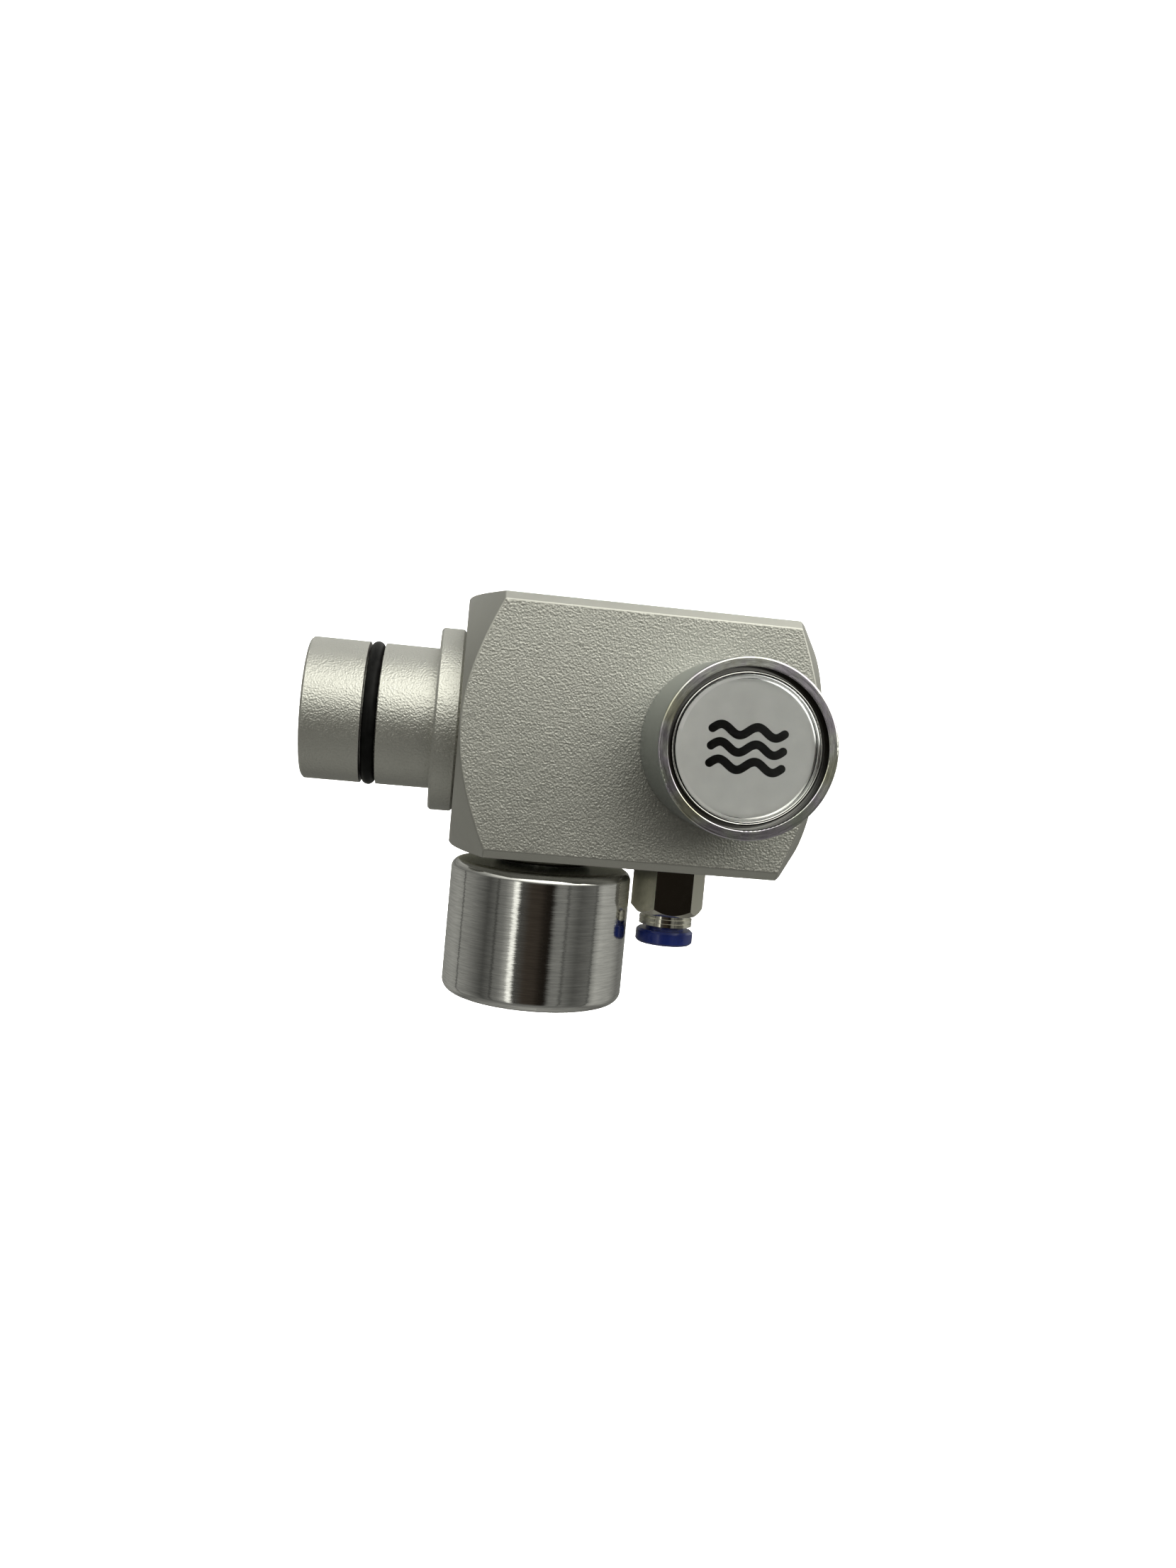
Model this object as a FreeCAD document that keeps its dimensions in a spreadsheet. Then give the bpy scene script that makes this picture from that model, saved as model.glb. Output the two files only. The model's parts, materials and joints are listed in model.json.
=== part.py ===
"""Push-button gas valve head: plug-in spigot, flow knob, push-in tube fitting and push button.

Frame: millimetres, +Z up, front face towards -Y. The origin lies on the spigot's axis, in the
plane of the flange's outer face; the spigot points along -X and the block along +X.
Every turned piece is drawn about its own local Z axis, from its inner end outwards, and is then
stood on the block by `stand`, so that its local +Z points out of the block.
"""
import FreeCAD, Part
import os
import re

import Sketcher

doc = FreeCAD.newDocument("GasValveHead")
sizes = doc.addObject("Spreadsheet::Sheet", "Sizes")
pieces = {}

DRIVING_SIZES = {
    # Block: a square bar whose two ends are turned to a cone.
    "block_side": 45.0,
    "block_length": 62.0,
    "block_edge_chamfer": 1.45,
    "block_edge_round": 0.5,
    "end_cone_radius": 22.2,
    "left_cone_slope": 0.676,
    "right_cone_slope": 0.623,
    "turning_radius": 33.0,
    "cone_edge_round": 0.3,
    "over_cut": 1.0,
    "thread_gap": 0.02,
    # Plug-in spigot on the left end.
    "flange_thick": 4.4,
    "flange_radius": 16.75,
    "spigot_radius": 12.9,
    "spigot_length": 23.0,
    "edge_break": 0.4,
    "spigot_neck_radius": 10.0,
    "spigot_neck_length": 8.0,
    "spigot_socket_depth": 10.4,
    "spigot_bore_radius": 4.0,
    "ring_centre": 11.2,
    "ring_section": 2.4,
    "ring_proud": 0.2,
    "ring_groove_width": 2.9,
    "ring_groove_radius": 10.65,
    "face_seal_section": 1.6,
    "face_seal_centre": 11.3,
    "face_seal_groove": 1.65,
    "face_seal_groove_radius": 12.6,
    # Filter in the mouth of the spigot.
    "filter_pocket_radius": 8.0,
    "filter_pocket_depth": 9.0,
    "filter_thick": 3.5,
    "clip_depth": 4.4,
    "clip_thick": 1.0,
    "clip_groove_width": 1.1,
    "clip_groove_radius": 8.7,
    "clip_outer_radius": 8.6,
    "clip_inner_radius": 6.8,
    "clip_opening": 4.0,
    "small_gap": 0.05,
    # Push button on the front face.
    "button_across": 49.3,
    "bezel_radius": 14.4,
    "bezel_height": 17.9,
    "bezel_bore_radius": 13.4,
    "bezel_lip": 2.0,
    "bezel_lip_radius": 12.75,
    "bezel_round": 0.35,
    "base_neck_radius": 10.0,
    "base_neck_length": 13.0,
    "base_flange_thick": 3.2,
    "base_hub_radius": 5.2,
    "base_hub_height": 5.2,
    "base_seal_section": 1.24,
    "base_seal_centre": 11.25,
    "base_seal_groove": 1.3,
    "base_seal_groove_radius": 12.4,
    "gland_radius": 3.5,
    "gland_depth": 4.0,
    "gland_nut_length": 1.8,
    "stem_radius": 1.5,
    "running_gap": 0.05,
    "stem_seal_section": 1.7,
    "stem_seal_centre": 2.4,
    "cap_radius": 12.1,
    "cap_front": 17.0,
    "cap_recess_radius": 11.65,
    "cap_recess_depth": 1.5,
    "cap_web": 1.8,
    "cap_flange_radius": 13.15,
    "cap_flange_thick": 2.0,
    "cap_skirt_radius": 10.9,
    "cap_skirt_end": 11.5,
    "cap_boss_radius": 4.0,
    "cap_boss_end": 9.5,
    "cap_hole_depth": 3.5,
    "cap_edge": 0.22,
    "label_thick": 0.25,
    "label_radius": 10.9,
    "lens_radius": 11.55,
    "lens_thick": 1.9,
    "lens_chamfer": 0.6,
    "button_spring_radius": 7.2,
    "button_spring_wire": 1.0,
    "button_spring_coils": 4.5,
    # Button valve inside the block: its blind end lies this far behind the block's centre.
    "button_bore_end": 18.0,
    "inlet_chamber_radius": 5.0,
    "inlet_chamber_length": 12.5,
    "seat_pocket_radius": 6.5,
    "seat_pocket_length": 3.0,
    "seat_lip": 0.5,
    "seat_lip_radius": 3.1,
    "seat_orifice_radius": 2.6,
    "outlet_chamber_radius": 7.0,
    "outlet_chamber_length": 10.5,
    "poppet_radius": 4.0,
    "poppet_disc": 2.5,
    "poppet_front": 5.9,
    "poppet_tail_radius": 2.0,
    "poppet_tail": 3.1,
    "pad_radius": 3.6,
    "pad_thick": 1.2,
    "pad_proud": 0.3,
    "stem_in_poppet": 2.5,
    "poppet_spring_radius": 3.1,
    "poppet_spring_wire": 0.7,
    "poppet_spring_coils": 5.5,
    # Needle valve and flow knob under the block's left half.
    "knob_across": 22.1,
    "needle_bore_top": 8.0,
    "upper_chamber_radius": 3.0,
    "upper_chamber_length": 5.5,
    "needle_seat_radius": 4.5,
    "needle_seat_length": 3.5,
    "needle_orifice_radius": 1.6,
    "needle_entry_radius": 2.4,
    "lower_chamber_radius": 7.0,
    "lower_chamber_length": 9.0,
    "bonnet_radius": 8.0,
    "bonnet_neck_length": 12.0,
    "bonnet_washer_thick": 0.5,
    "bonnet_flange_radius": 9.0,
    "bonnet_flange_thick": 1.6,
    "collar_bore_radius": 6.1,
    "collar_bore_depth": 5.5,
    "collar_radius": 6.0,
    "collar_thick": 2.8,
    "collar_play": 0.1,
    "guide_thick": 1.5,
    "guide_hole_radius": 3.3,
    "guide_flats": 4.8,
    "thrust_washer_thick": 0.9,
    "shaft_radius": 4.0,
    "shaft_length": 28.4,
    "shaft_thread_radius": 2.5,
    "shaft_thread_depth": 12.9,
    "shaft_seal_section": 1.36,
    "shaft_seal_centre": 4.75,
    "shaft_seal_groove_radius": 5.5,
    "shaft_seal_groove_width": 1.6,
    "shaft_seal_depth": 3.2,
    "needle_radius": 2.45,
    "needle_tip_radius": 0.65,
    "needle_cone": 3.0,
    "needle_tip_rise": 1.4,
    "needle_neck": 3.6,
    "needle_guided_radius": 3.2,
    "needle_guided_length": 6.5,
    "needle_flats": 4.6,
    "needle_thread_length": 11.7,
    "knob_radius": 16.8,
    "knob_height": 24.6,
    "knob_gap": 2.6,
    "knob_top_round": 1.8,
    "knob_bottom_round": 2.0,
    "knob_bore_depth": 16.6,
    "set_screw_radius": 2.0,
    "set_screw_length": 6.0,
    "set_screw_depth": 7.5,
    "set_screw_socket": 2.0,
    # Push-in tube fitting under the block's right half.
    "fitting_across": 46.5,
    "fitting_neck_radius": 4.85,
    "fitting_neck_length": 7.0,
    "fitting_bore_depth": 8.0,
    "fitting_washer_radius": 5.9,
    "fitting_washer_thick": 0.8,
    "fitting_hex": 12.0,
    "fitting_hex_end": 10.2,
    "fitting_hex_chamfer": 1.3,
    "fitting_hex_top_chamfer": 0.4,
    "fitting_collar_radius": 4.7,
    "fitting_collar_end": 10.9,
    "fitting_port_radius": 2.0,
    "tube_radius": 3.0,
    "tube_clearance": 0.1,
    "tube_stop": 1.5,
    "tube_nose_end": 5.0,
    "fitting_chamber_radius": 4.2,
    "tube_seal_section": 1.0,
    "tube_seal_depth": 6.2,
    "grip_depth": 7.3,
    "grip_rise": 0.9,
    "grip_plate": 0.35,
    "grip_rim": 0.3,
    "grip_slot": 0.6,
    "grip_slots": 3.0,
    "guide_ring_radius": 5.0,
    "guide_ring_top": 10.0,
    "guide_ring_end": 12.3,
    "guide_ring_groove_top": 11.45,
    "guide_ring_groove_width": 0.25,
    "guide_ring_groove_depth": 0.25,
    "release_radius": 3.6,
    "release_side_gap": 0.1,
    "release_lip_radius": 4.05,
    "release_lip": 0.6,
    "release_top": 9.3,
    "release_rim_radius": 5.4,
    "release_rim_top": 13.2,
    "release_rim_end": 15.8,
    "release_mouth": 0.4,
    # Drilled gas passages.
    "outlet_drill_radius": 1.75,
    "outlet_drill_top": -6.0,
    "inlet_drill_radius": 1.75,
    "inlet_drill_height": 5.5,
    "gallery_radius": 1.7,
    "gallery_back": 7.2,
    "gallery_height": -3.5,
    "plug_radius": 3.5,
    "plug_length": 7.0,
    "plug_sunk": 0.2,
    "plug_bore_depth": 8.0,
    "plug_socket": 3.0,
    "plug_socket_depth": 3.5,
}

# Rotations that turn a piece's local +Z axis to the side of the block it faces.
FACING = {
    "left": FreeCAD.Rotation(FreeCAD.Vector(0, 1, 0), -90),
    "right": FreeCAD.Rotation(FreeCAD.Vector(0, 1, 0), 90),
    "front": FreeCAD.Rotation(FreeCAD.Vector(1, 0, 0), 90),
    "back": FreeCAD.Rotation(FreeCAD.Vector(1, 0, 0), -90),
    "down": FreeCAD.Rotation(FreeCAD.Vector(1, 0, 0), 180),
}

# Heights and radii that several pieces share, as expressions on the sheet.
UNDERSIDE = "-block_side / 2"
BONNET_TOP = f"{UNDERSIDE} + bonnet_neck_length"
GUIDE_BOTTOM = f"{BONNET_TOP} - guide_thick"
COLLAR_TOP = f"{GUIDE_BOTTOM} - thrust_washer_thick - 2 * small_gap - collar_play / 2"
TUBE_BORE = "tube_radius + tube_clearance"


# ---------------------------------------------------------------- helpers


def fill_sheet():
    """Write every driving size to the sheet, with its name as the cell's alias."""
    for row, (alias, number) in enumerate(DRIVING_SIZES.items(), start=1):
        sizes.set(f"A{row}", alias)
        sizes.set(f"B{row}", str(number))
        sizes.setAlias(f"B{row}", alias)
    doc.recompute()


def bound(expression):
    """Point every size named in an expression at its cell in the sheet."""
    return re.sub(r"[a-z_]\w*", lambda match: f"Sizes.{match.group(0)}", str(expression))


def value(expression):
    """The number that an expression has now."""
    return float(sizes.evalExpression(bound(expression)))


def keep(piece, label):
    """Give a finished sub-part its own label and list it for export."""
    piece.Label = label
    pieces[label] = piece
    return piece


def stand(piece, facing, x=0, y=0, z=0):
    """Turn a piece towards one side of the block and bind its position to the sheet."""
    piece.Placement = FreeCAD.Placement(FreeCAD.Vector(value(x), value(y), value(z)), FACING[facing])
    for axis, place in (("x", x), ("y", y), ("z", z)):
        piece.setExpression(f"Placement.Base.{axis}", bound(place))
    return piece


def raised(tool, height):
    """Bind a tool's height above its base's own origin."""
    tool.setExpression("Placement.Base.z", bound(height))
    doc.recompute()
    return tool


def origin_plane(body, role):
    """One of a body's own origin planes."""
    return next(feature for feature in body.Origin.OriginFeatures if feature.Role == role)


def outline_sketch(body, role, corners):
    """A closed outline whose corners are pairs of expressions, each bound to the sheet."""
    sketch = body.newObject("Sketcher::SketchObject", f"{body.Name}Outline")
    sketch.AttachmentSupport = [(origin_plane(body, role), "")]
    sketch.MapMode = "FlatFace"
    points = [FreeCAD.Vector(value(first), value(second), 0) for first, second in corners]
    count = len(points)
    for index, point in enumerate(points):
        sketch.addGeometry(Part.LineSegment(point, points[(index + 1) % count]), False)
    for index in range(count):
        sketch.addConstraint(Sketcher.Constraint("Coincident", index, 2, (index + 1) % count, 1))
    for index, (first, second) in enumerate(corners):
        place_corner(sketch, index, "DistanceX", -2, first)
        place_corner(sketch, index, "DistanceY", -1, second)
    return sketch


def place_corner(sketch, index, kind, axis, expression):
    """Hold one coordinate of a corner on an axis or at a bound distance from the origin."""
    if str(expression) == "0":
        sketch.addConstraint(Sketcher.Constraint("PointOnObject", index, 1, axis))
        return
    constraint = Sketcher.Constraint(kind, -1, 1, index, 1, value(expression))
    number = sketch.addConstraint(constraint)
    sketch.setExpression(f"Constraints[{number}]", bound(expression))


def turned(name, corners):
    """A body of revolution about its local Z axis, from (radius, height) corners."""
    body = doc.addObject("PartDesign::Body", name)
    sketch = outline_sketch(body, "XZ_Plane", corners)
    revolution = body.newObject("PartDesign::Revolution", f"{name}Turning")
    revolution.Profile = sketch
    revolution.ReferenceAxis = (sketch, ["V_Axis"])
    revolution.Angle = 360
    doc.recompute()
    return body


def ring_corners(inner, outer, low, high):
    """The outline of a plain ring or, with an inner radius of 0, of a plain disc."""
    return [(inner, low), (outer, low), (outer, high), (inner, high)]


def bar(name, width, depth, length):
    """A padded rectangle centred on its local Z axis."""
    body = doc.addObject("PartDesign::Body", name)
    half_width = f"{width} / 2"
    half_depth = f"{depth} / 2"
    corners = [
        (f"-{half_width}", f"-{half_depth}"),
        (half_width, f"-{half_depth}"),
        (half_width, half_depth),
        (f"-{half_width}", half_depth),
    ]
    pad = body.newObject("PartDesign::Pad", f"{name}Pad")
    pad.Profile = outline_sketch(body, "XY_Plane", corners)
    pad.setExpression("Length", bound(length))
    doc.recompute()
    return body


def prism(name, across_flats, length):
    """A hexagonal bar with one flat towards its local Y axis."""
    hexagon = doc.addObject("Part::Prism", name)
    hexagon.Polygon = 6
    hexagon.setExpression("Circumradius", f"({bound(across_flats)}) / (2 * cos(30))")
    hexagon.setExpression("Height", bound(length))
    doc.recompute()
    return hexagon


def cylinder(name, radius, length):
    """A plain cylinder along its local Z axis."""
    rod = doc.addObject("Part::Cylinder", name)
    rod.setExpression("Radius", bound(radius))
    rod.setExpression("Height", bound(length))
    doc.recompute()
    return rod


def o_ring(label, centre_radius, section, facing, x=0, y=0, z=0):
    """An O-ring, centred where it is stood."""
    torus = doc.addObject("Part::Torus", label)
    torus.setExpression("Radius1", bound(centre_radius))
    torus.setExpression("Radius2", bound(f"({section}) / 2"))
    stand(torus, facing, x, y, z)
    return keep(torus, label)


def joined(name, shapes):
    """One solid from several that overlap."""
    fusion = doc.addObject("Part::MultiFuse", name)
    fusion.Shapes = shapes
    doc.recompute()
    return fusion


def cut(name, base, tool):
    """The base with the tool's volume removed; the volume must really fall."""
    result = doc.addObject("Part::Cut", name)
    result.Base = base
    result.Tool = tool
    doc.recompute()
    if result.Shape.Volume >= base.Shape.Volume - 1e-6:
        raise ValueError(f"{name}: the cut removes nothing")
    return result


def shared(name, first, second):
    """The volume that two solids share."""
    common = doc.addObject("Part::MultiCommon", name)
    common.Shapes = [first, second]
    doc.recompute()
    return common


def trim_edges(body, kind, driven, chosen, size):
    """Fillet or chamfer the edges of a body's tip that `chosen` accepts."""
    base = body.Tip
    names = [f"Edge{i}" for i, edge in enumerate(base.Shape.Edges, start=1) if chosen(edge)]
    trim = body.newObject(f"PartDesign::{kind}", f"{body.Name}{kind}{len(body.Group)}")
    trim.Base = (base, names)
    trim.setExpression(driven, bound(size))
    doc.recompute()
    return body


def round_edges(body, chosen, radius):
    """Fillet the chosen edges of a body's tip."""
    return trim_edges(body, "Fillet", "Radius", chosen, radius)


def rim(radius, height):
    """A test for the round edge at this radius and height on a turned body."""
    wanted_radius = value(radius)
    wanted_height = value(height)

    def accepts(edge):
        if not isinstance(edge.Curve, Part.Circle):
            return False
        near_radius = abs(edge.Curve.Radius - wanted_radius) < 1e-4
        return near_radius and abs(edge.Curve.Center.z - wanted_height) < 1e-4

    return accepts


def along_z(edge):
    """A test for the straight edges that run along a bar."""
    if not isinstance(edge.Curve, Part.Line):
        return False
    return abs(abs(edge.Curve.Direction.z) - 1) < 1e-6


def leaves_cone(shape, edge):
    """Whether an edge lies between a cone and a face of another kind."""
    kinds = {type(face.Surface) for face in shape.ancestorsOfType(edge, Part.Face)}
    return Part.Cone in kinds and len(kinds) == 2


def coil_spring(name, mean_radius, wire, length, coils):
    """A compression spring from its lower end plane up, wound as one helical sweep."""
    body = doc.addObject("PartDesign::Body", name)
    sketch = body.newObject("Sketcher::SketchObject", f"{name}Wire")
    sketch.AttachmentSupport = [(origin_plane(body, "XZ_Plane"), "")]
    sketch.MapMode = "FlatFace"
    centre = FreeCAD.Vector(value(mean_radius), value(f"{wire} / 2"), 0)
    normal = FreeCAD.Vector(0, 0, 1)
    sketch.addGeometry(Part.Circle(centre, normal, value(f"{wire} / 2")), False)
    across = sketch.addConstraint(Sketcher.Constraint("DistanceX", -1, 1, 0, 3, centre.x))
    up = sketch.addConstraint(Sketcher.Constraint("DistanceY", -1, 1, 0, 3, centre.y))
    thick = sketch.addConstraint(Sketcher.Constraint("Diameter", 0, value(wire)))
    sketch.setExpression(f"Constraints[{across}]", bound(mean_radius))
    sketch.setExpression(f"Constraints[{up}]", bound(f"{wire} / 2"))
    sketch.setExpression(f"Constraints[{thick}]", bound(wire))
    helix = body.newObject("PartDesign::AdditiveHelix", f"{name}Winding")
    helix.Profile = sketch
    helix.ReferenceAxis = (sketch, ["V_Axis"])
    helix.Mode = "height-turns-angle"
    helix.setExpression("Height", f"{bound(length)} - {bound(wire)}")
    helix.setExpression("Turns", bound(coils))
    doc.recompute()
    return body


# ---------------------------------------------------------------- block and its bores


def block_bores():
    """Every bore and drilling of the block, as solids to take away."""
    socket = turned("SpigotSocket", [
        ("0", "0"),
        ("spigot_neck_radius + thread_gap", "0"),
        ("spigot_neck_radius + thread_gap", "spigot_socket_depth - face_seal_groove"),
        ("face_seal_groove_radius", "spigot_socket_depth - face_seal_groove"),
        ("face_seal_groove_radius", "spigot_socket_depth + over_cut"),
        ("0", "spigot_socket_depth + over_cut"),
    ])
    stand(socket, "left", x="flange_thick + spigot_socket_depth")

    seat_end = "inlet_chamber_length + seat_pocket_length"
    outlet_end = f"{seat_end} + outlet_chamber_length"
    face = "button_bore_end + block_side / 2"
    button_bore = turned("ButtonBore", [
        ("0", "0"),
        ("inlet_chamber_radius", "0"),
        ("inlet_chamber_radius", "inlet_chamber_length"),
        ("seat_pocket_radius", "inlet_chamber_length"),
        ("seat_pocket_radius", seat_end),
        ("outlet_chamber_radius", seat_end),
        ("outlet_chamber_radius", outlet_end),
        ("base_neck_radius + thread_gap", outlet_end),
        ("base_neck_radius + thread_gap", f"{face} - base_seal_groove"),
        ("base_seal_groove_radius", f"{face} - base_seal_groove"),
        ("base_seal_groove_radius", f"{face} + over_cut"),
        ("0", f"{face} + over_cut"),
    ])
    stand(button_bore, "front", x="button_across", y="button_bore_end")

    pocket_end = "upper_chamber_length + needle_seat_length"
    chamber_end = f"{pocket_end} + lower_chamber_length"
    underside = "needle_bore_top + block_side / 2"
    needle_bore = turned("NeedleBore", [
        ("0", "0"),
        ("upper_chamber_radius", "0"),
        ("upper_chamber_radius", "upper_chamber_length"),
        ("needle_seat_radius + thread_gap", "upper_chamber_length"),
        ("needle_seat_radius + thread_gap", pocket_end),
        ("lower_chamber_radius", pocket_end),
        ("lower_chamber_radius", chamber_end),
        ("bonnet_radius + thread_gap", chamber_end),
        ("bonnet_radius + thread_gap", f"{underside} + over_cut"),
        ("0", f"{underside} + over_cut"),
    ])
    stand(needle_bore, "down", x="knob_across", z="needle_bore_top")

    drill_end = "outlet_drill_top + block_side / 2 - fitting_bore_depth"
    mouth_end = "outlet_drill_top + block_side / 2 + over_cut"
    fitting_bore = turned("FittingBore", [
        ("0", "0"),
        ("outlet_drill_radius", "0"),
        ("outlet_drill_radius", drill_end),
        ("fitting_neck_radius + thread_gap", drill_end),
        ("fitting_neck_radius + thread_gap", mouth_end),
        ("0", mouth_end),
    ])
    stand(fitting_bore, "down", x="fitting_across", z="outlet_drill_top")

    gallery_length = "flange_thick + block_length - knob_across"
    gallery = turned("Gallery", [
        ("0", "0"),
        ("gallery_radius", "0"),
        ("gallery_radius", f"{gallery_length} - plug_bore_depth"),
        ("plug_radius + thread_gap", f"{gallery_length} - plug_bore_depth"),
        ("plug_radius + thread_gap", f"{gallery_length} + over_cut"),
        ("0", f"{gallery_length} + over_cut"),
    ])
    stand(gallery, "right", x="knob_across", y="gallery_back", z="gallery_height")

    inlet_start = "(flange_thick + spigot_socket_depth - over_cut)"
    inlet_drill = cylinder("InletDrill", "inlet_drill_radius", f"knob_across - {inlet_start}")
    stand(inlet_drill, "right", x=inlet_start, z="inlet_drill_height")
    return joined("BlockBores", [socket, button_bore, needle_bore, fitting_bore, gallery, inlet_drill])


def valve_block():
    """The square block: long edges chamfered and eased, both ends turned to a cone."""
    square_bar = bar("SquareBar", "block_side", "block_side", "block_length")
    trim_edges(square_bar, "Chamfer", "Size", along_z, "block_edge_chamfer")
    round_edges(square_bar, along_z, "block_edge_round")
    stand(square_bar, "right", x="flange_thick")
    left_shoulder = "left_cone_slope * (turning_radius - end_cone_radius)"
    right_shoulder = "right_cone_slope * (turning_radius - end_cone_radius)"
    turning = turned("EndTurning", [
        ("0", "0"),
        ("end_cone_radius", "0"),
        ("turning_radius", left_shoulder),
        ("turning_radius", f"block_length - {right_shoulder}"),
        ("end_cone_radius", "block_length"),
        ("0", "block_length"),
    ])
    stand(turning, "right", x="flange_thick")
    blank = shared("BlockBlank", square_bar, turning)
    softened = doc.addObject("Part::Fillet", "BlockEdges")
    softened.Base = blank
    radius = value("cone_edge_round")
    softened.Edges = [
        (index, radius, radius)
        for index, edge in enumerate(blank.Shape.Edges, start=1)
        if leaves_cone(blank.Shape, edge)
    ]
    doc.recompute()
    keep(cut("ValveBlock", softened, block_bores()), "valve_block")


def gallery_plug():
    """Hexagon-socket screw plug that closes the drilled gallery on the right end."""
    body = turned("PlugBody", ring_corners("0", "plug_radius", "0", "plug_length"))
    round_edges(body, rim("plug_radius", "plug_length"), "edge_break")
    socket = raised(prism("PlugSocket", "plug_socket", "plug_length"), "plug_length - plug_socket_depth")
    plug = cut("GalleryPlug", body, socket)
    end_face = "flange_thick + block_length"
    stand(plug, "right", f"{end_face} - plug_sunk - plug_length", "gallery_back", "gallery_height")
    keep(plug, "gallery_plug")


# ---------------------------------------------------------------- plug-in spigot


def inlet_spigot():
    """Turned spigot: threaded neck, flange, O-ring groove, and a filter pocket in its mouth."""
    flange = "spigot_neck_length"
    front = f"{flange} + flange_thick"
    end = f"{front} + spigot_length"
    groove_low = f"{front} + ring_centre - ring_groove_width / 2"
    groove_high = f"{front} + ring_centre + ring_groove_width / 2"
    spigot = turned("InletSpigot", [
        ("spigot_bore_radius", "0"),
        ("spigot_neck_radius", "0"),
        ("spigot_neck_radius", flange),
        ("flange_radius - edge_break", flange),
        ("flange_radius", f"{flange} + edge_break"),
        ("flange_radius", f"{front} - edge_break"),
        ("flange_radius - edge_break", front),
        ("spigot_radius", front),
        ("spigot_radius", groove_low),
        ("ring_groove_radius", groove_low),
        ("ring_groove_radius", groove_high),
        ("spigot_radius", groove_high),
        ("spigot_radius", f"{end} - edge_break"),
        ("spigot_radius - edge_break", end),
        ("filter_pocket_radius", end),
        ("filter_pocket_radius", f"{end} - clip_depth"),
        ("clip_groove_radius", f"{end} - clip_depth"),
        ("clip_groove_radius", f"{end} - clip_depth - clip_groove_width"),
        ("filter_pocket_radius", f"{end} - clip_depth - clip_groove_width"),
        ("filter_pocket_radius", f"{end} - filter_pocket_depth"),
        ("spigot_bore_radius", f"{end} - filter_pocket_depth"),
    ])
    stand(spigot, "left", x="flange_thick + spigot_neck_length")
    keep(spigot, "inlet_spigot")


def spigot_seals():
    """The O-ring that seals the spigot in its socket, and the one behind the flange."""
    ring_radius = "spigot_radius + ring_proud - ring_section / 2"
    o_ring("spigot_o_ring", ring_radius, "ring_section", "left", x="-ring_centre")
    seal_centre = "flange_thick + face_seal_section / 2 + small_gap / 2"
    o_ring("spigot_face_seal", "face_seal_centre", "face_seal_section", "left", x=seal_centre)


def inlet_filter():
    """Sintered disc at the bottom of the pocket, and the open clip that holds it."""
    disc = turned("FilterDisc", ring_corners("0", "filter_pocket_radius - small_gap", "0", "filter_thick"))
    stand(disc, "left", x="filter_pocket_depth - spigot_length")
    keep(disc, "inlet_filter")

    ring = turned("ClipRing", ring_corners("clip_inner_radius", "clip_outer_radius", "0", "clip_thick"))
    opening = bar("ClipOpening", "clip_opening", "clip_outer_radius * 2", "clip_thick + over_cut")
    opening.setExpression("Placement.Base.y", bound("-clip_outer_radius"))
    clip = cut("FilterClip", ring, opening)
    stand(clip, "left", x="clip_depth + clip_groove_width / 2 + clip_thick / 2 - spigot_length")
    keep(clip, "filter_clip")


# ---------------------------------------------------------------- push button


def button_base():
    """Brass base screwed into the front face: stem bore, gland pocket and spring hub."""
    flange = "base_neck_length"
    base = turned("ButtonBase", [
        ("stem_radius + running_gap", "gland_depth"),
        ("gland_radius", "gland_depth"),
        ("gland_radius", "0"),
        ("base_neck_radius", "0"),
        ("base_neck_radius", flange),
        ("bezel_bore_radius - small_gap", flange),
        ("bezel_bore_radius - small_gap", f"{flange} + base_flange_thick"),
        ("base_hub_radius", f"{flange} + base_flange_thick"),
        ("base_hub_radius", f"{flange} + base_hub_height"),
        ("stem_radius + running_gap", f"{flange} + base_hub_height"),
    ])
    stand(base, "front", x="button_across", y="base_neck_length - block_side / 2")
    keep(base, "button_base")
    seal_centre = "base_seal_section / 2 + small_gap / 2 - block_side / 2"
    across = "button_across"
    o_ring("button_base_seal", "base_seal_centre", "base_seal_section", "front", across, seal_centre)


def stem_gland():
    """Stem seal and the nut that keeps it in the back of the base."""
    inner_end = "base_neck_length - block_side / 2"
    seal_centre = f"{inner_end} - gland_depth + stem_seal_section / 2 + small_gap"
    o_ring("stem_seal", "stem_seal_centre", "stem_seal_section", "front", "button_across", seal_centre)
    nut = turned("GlandNut", ring_corners(
        "stem_radius + 2 * running_gap", "gland_radius - small_gap", "0", "gland_nut_length"
    ))
    stand(nut, "front", x="button_across", y=inner_end)
    keep(nut, "gland_nut")


def button_bezel():
    """Chrome sleeve screwed over the base, with a lip that keeps the cap in."""
    bezel = turned("ButtonBezel", [
        ("bezel_bore_radius", "0"),
        ("bezel_radius", "0"),
        ("bezel_radius", "bezel_height"),
        ("bezel_lip_radius", "bezel_height"),
        ("bezel_lip_radius", "bezel_height - bezel_lip"),
        ("bezel_bore_radius", "bezel_height - bezel_lip"),
    ])
    round_edges(bezel, rim("bezel_radius", "bezel_height"), "bezel_round")
    round_edges(bezel, rim("bezel_lip_radius", "bezel_height"), "edge_break / 2")
    stand(bezel, "front", x="button_across", y="-block_side / 2")
    keep(bezel, "button_bezel")


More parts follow.
